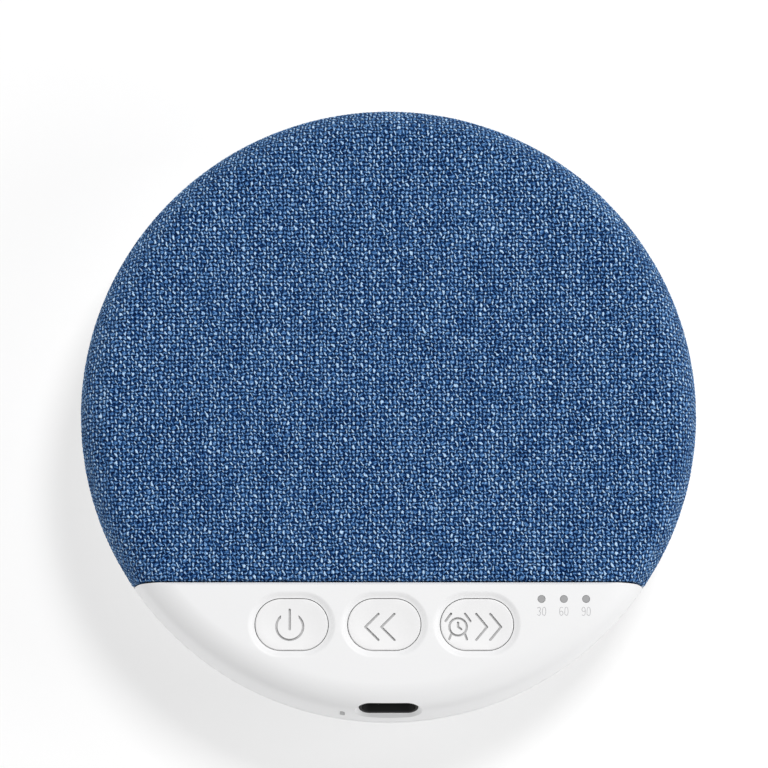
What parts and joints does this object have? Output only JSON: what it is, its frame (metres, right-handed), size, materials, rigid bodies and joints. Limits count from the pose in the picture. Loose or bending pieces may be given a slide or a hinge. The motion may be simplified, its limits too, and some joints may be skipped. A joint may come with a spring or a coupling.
{
  "type": "pillow speaker",
  "caption": "Round puck-shaped bedside speaker with a woven cloth front, a white control panel with press buttons and timer lamps, and a charging socket in the rim.",
  "frame": {"origin": "centre of the rubber ring's lower face, on the surface that the speaker lies on", "axes": "+Z out of the cloth front, -Y towards the charging socket, +X to the right of someone who faces the cloth with the panel at the bottom"},
  "size_m": [0.095, 0.095, 0.022],
  "materials": {
    "white_shell": "fine matte moulded white",
    "white_button": "satin moulded white",
    "blue_cloth": "plain woven melange cloth",
    "black_plastic": "matte moulded black",
    "grey_rubber": "matte",
    "screw_steel": "zinc plated",
    "switch_steel": "pressed and plated",
    "black_plating": "black plated steel",
    "light_guide": "smoky translucent",
    "lamp": "clear cast",
    "board_green": "solder mask",
    "chip_black": "moulded epoxy",
    "connector_ivory": "moulded nylon",
    "capacitor_tan": "fired",
    "cell_foil": "laminated foil",
    "foam": "open foam",
    "lead_red": "extruded",
    "lead_black": "extruded",
    "plated_steel": "zinc plated",
    "ferrite": "ground ferrite",
    "terminal_tan": "pressed board",
    "black_rubber": "matte",
    "spider_fibre": "pressed fibre, stiffened with resin",
    "cone_paper": "pressed paper",
    "coil_copper": "enamelled wire"
  },
  "bodies": {
    "case": {"rear_shell": "white_shell", "front_shell": "white_shell", "grille_panel": "black_plastic", "fabric_cover": "blue_cloth", "rubber_ring": "grey_rubber", "case_screws": "screw_steel", "power_switch": "switch_steel", "previous_switch": "switch_steel", "next_switch": "switch_steel", "timer_light_guide": "light_guide", "timer_lamps": "lamp", "charge_light_pipe": "light_guide", "charge_lamp": "lamp", "circuit_board": "board_green", "board_screws": "screw_steel", "usb_shell": "black_plating", "usb_tongue": "black_plastic", "usb_collar": "black_rubber", "main_chip": "chip_black", "amplifier_chip": "chip_black", "capacitors": "capacitor_tan", "battery_connector": "connector_ivory", "speaker_connector": "connector_ivory", "battery_cell": "cell_foil", "battery_pad": "foam", "battery_lead_plus": "lead_red", "battery_lead_minus": "lead_black", "speaker_lead_plus": "lead_red", "speaker_lead_minus": "lead_black", "driver_basket": "plated_steel", "driver_yoke": "plated_steel", "driver_magnet": "ferrite", "driver_top_plate": "plated_steel", "driver_gasket": "foam", "driver_screws": "screw_steel", "driver_terminals": "terminal_tan", "surround": "black_rubber", "spider": "spider_fibre"},
    "power_key": {"power_button": "white_button", "power_plunger": "black_plastic"},
    "previous_key": {"previous_button": "white_button", "previous_plunger": "black_plastic"},
    "next_key": {"next_button": "white_button", "next_plunger": "black_plastic"},
    "cone_unit": {"cone": "cone_paper", "dust_cap": "cone_paper", "voice_coil": "coil_copper"}
  },
  "joints": [
    {"name": "power_press", "type": "slide", "parent": "case", "child": "power_key", "axis": [0, 0, -1], "range_m": [0, 0.0004], "stiffness_N_per_m": 2000},
    {"name": "previous_press", "type": "slide", "parent": "case", "child": "previous_key", "axis": [0, 0, -1], "range_m": [0, 0.0004], "stiffness_N_per_m": 2000},
    {"name": "next_press", "type": "slide", "parent": "case", "child": "next_key", "axis": [0, 0, -1], "range_m": [0, 0.0004], "stiffness_N_per_m": 2000},
    {"name": "cone_travel", "type": "slide", "parent": "case", "child": "cone_unit", "axis": [0, 0, 1], "range_m": [-0.0006, 0.0006], "stiffness_N_per_m": 1500, "deforming": ["surround", "spider"]}
  ]
}
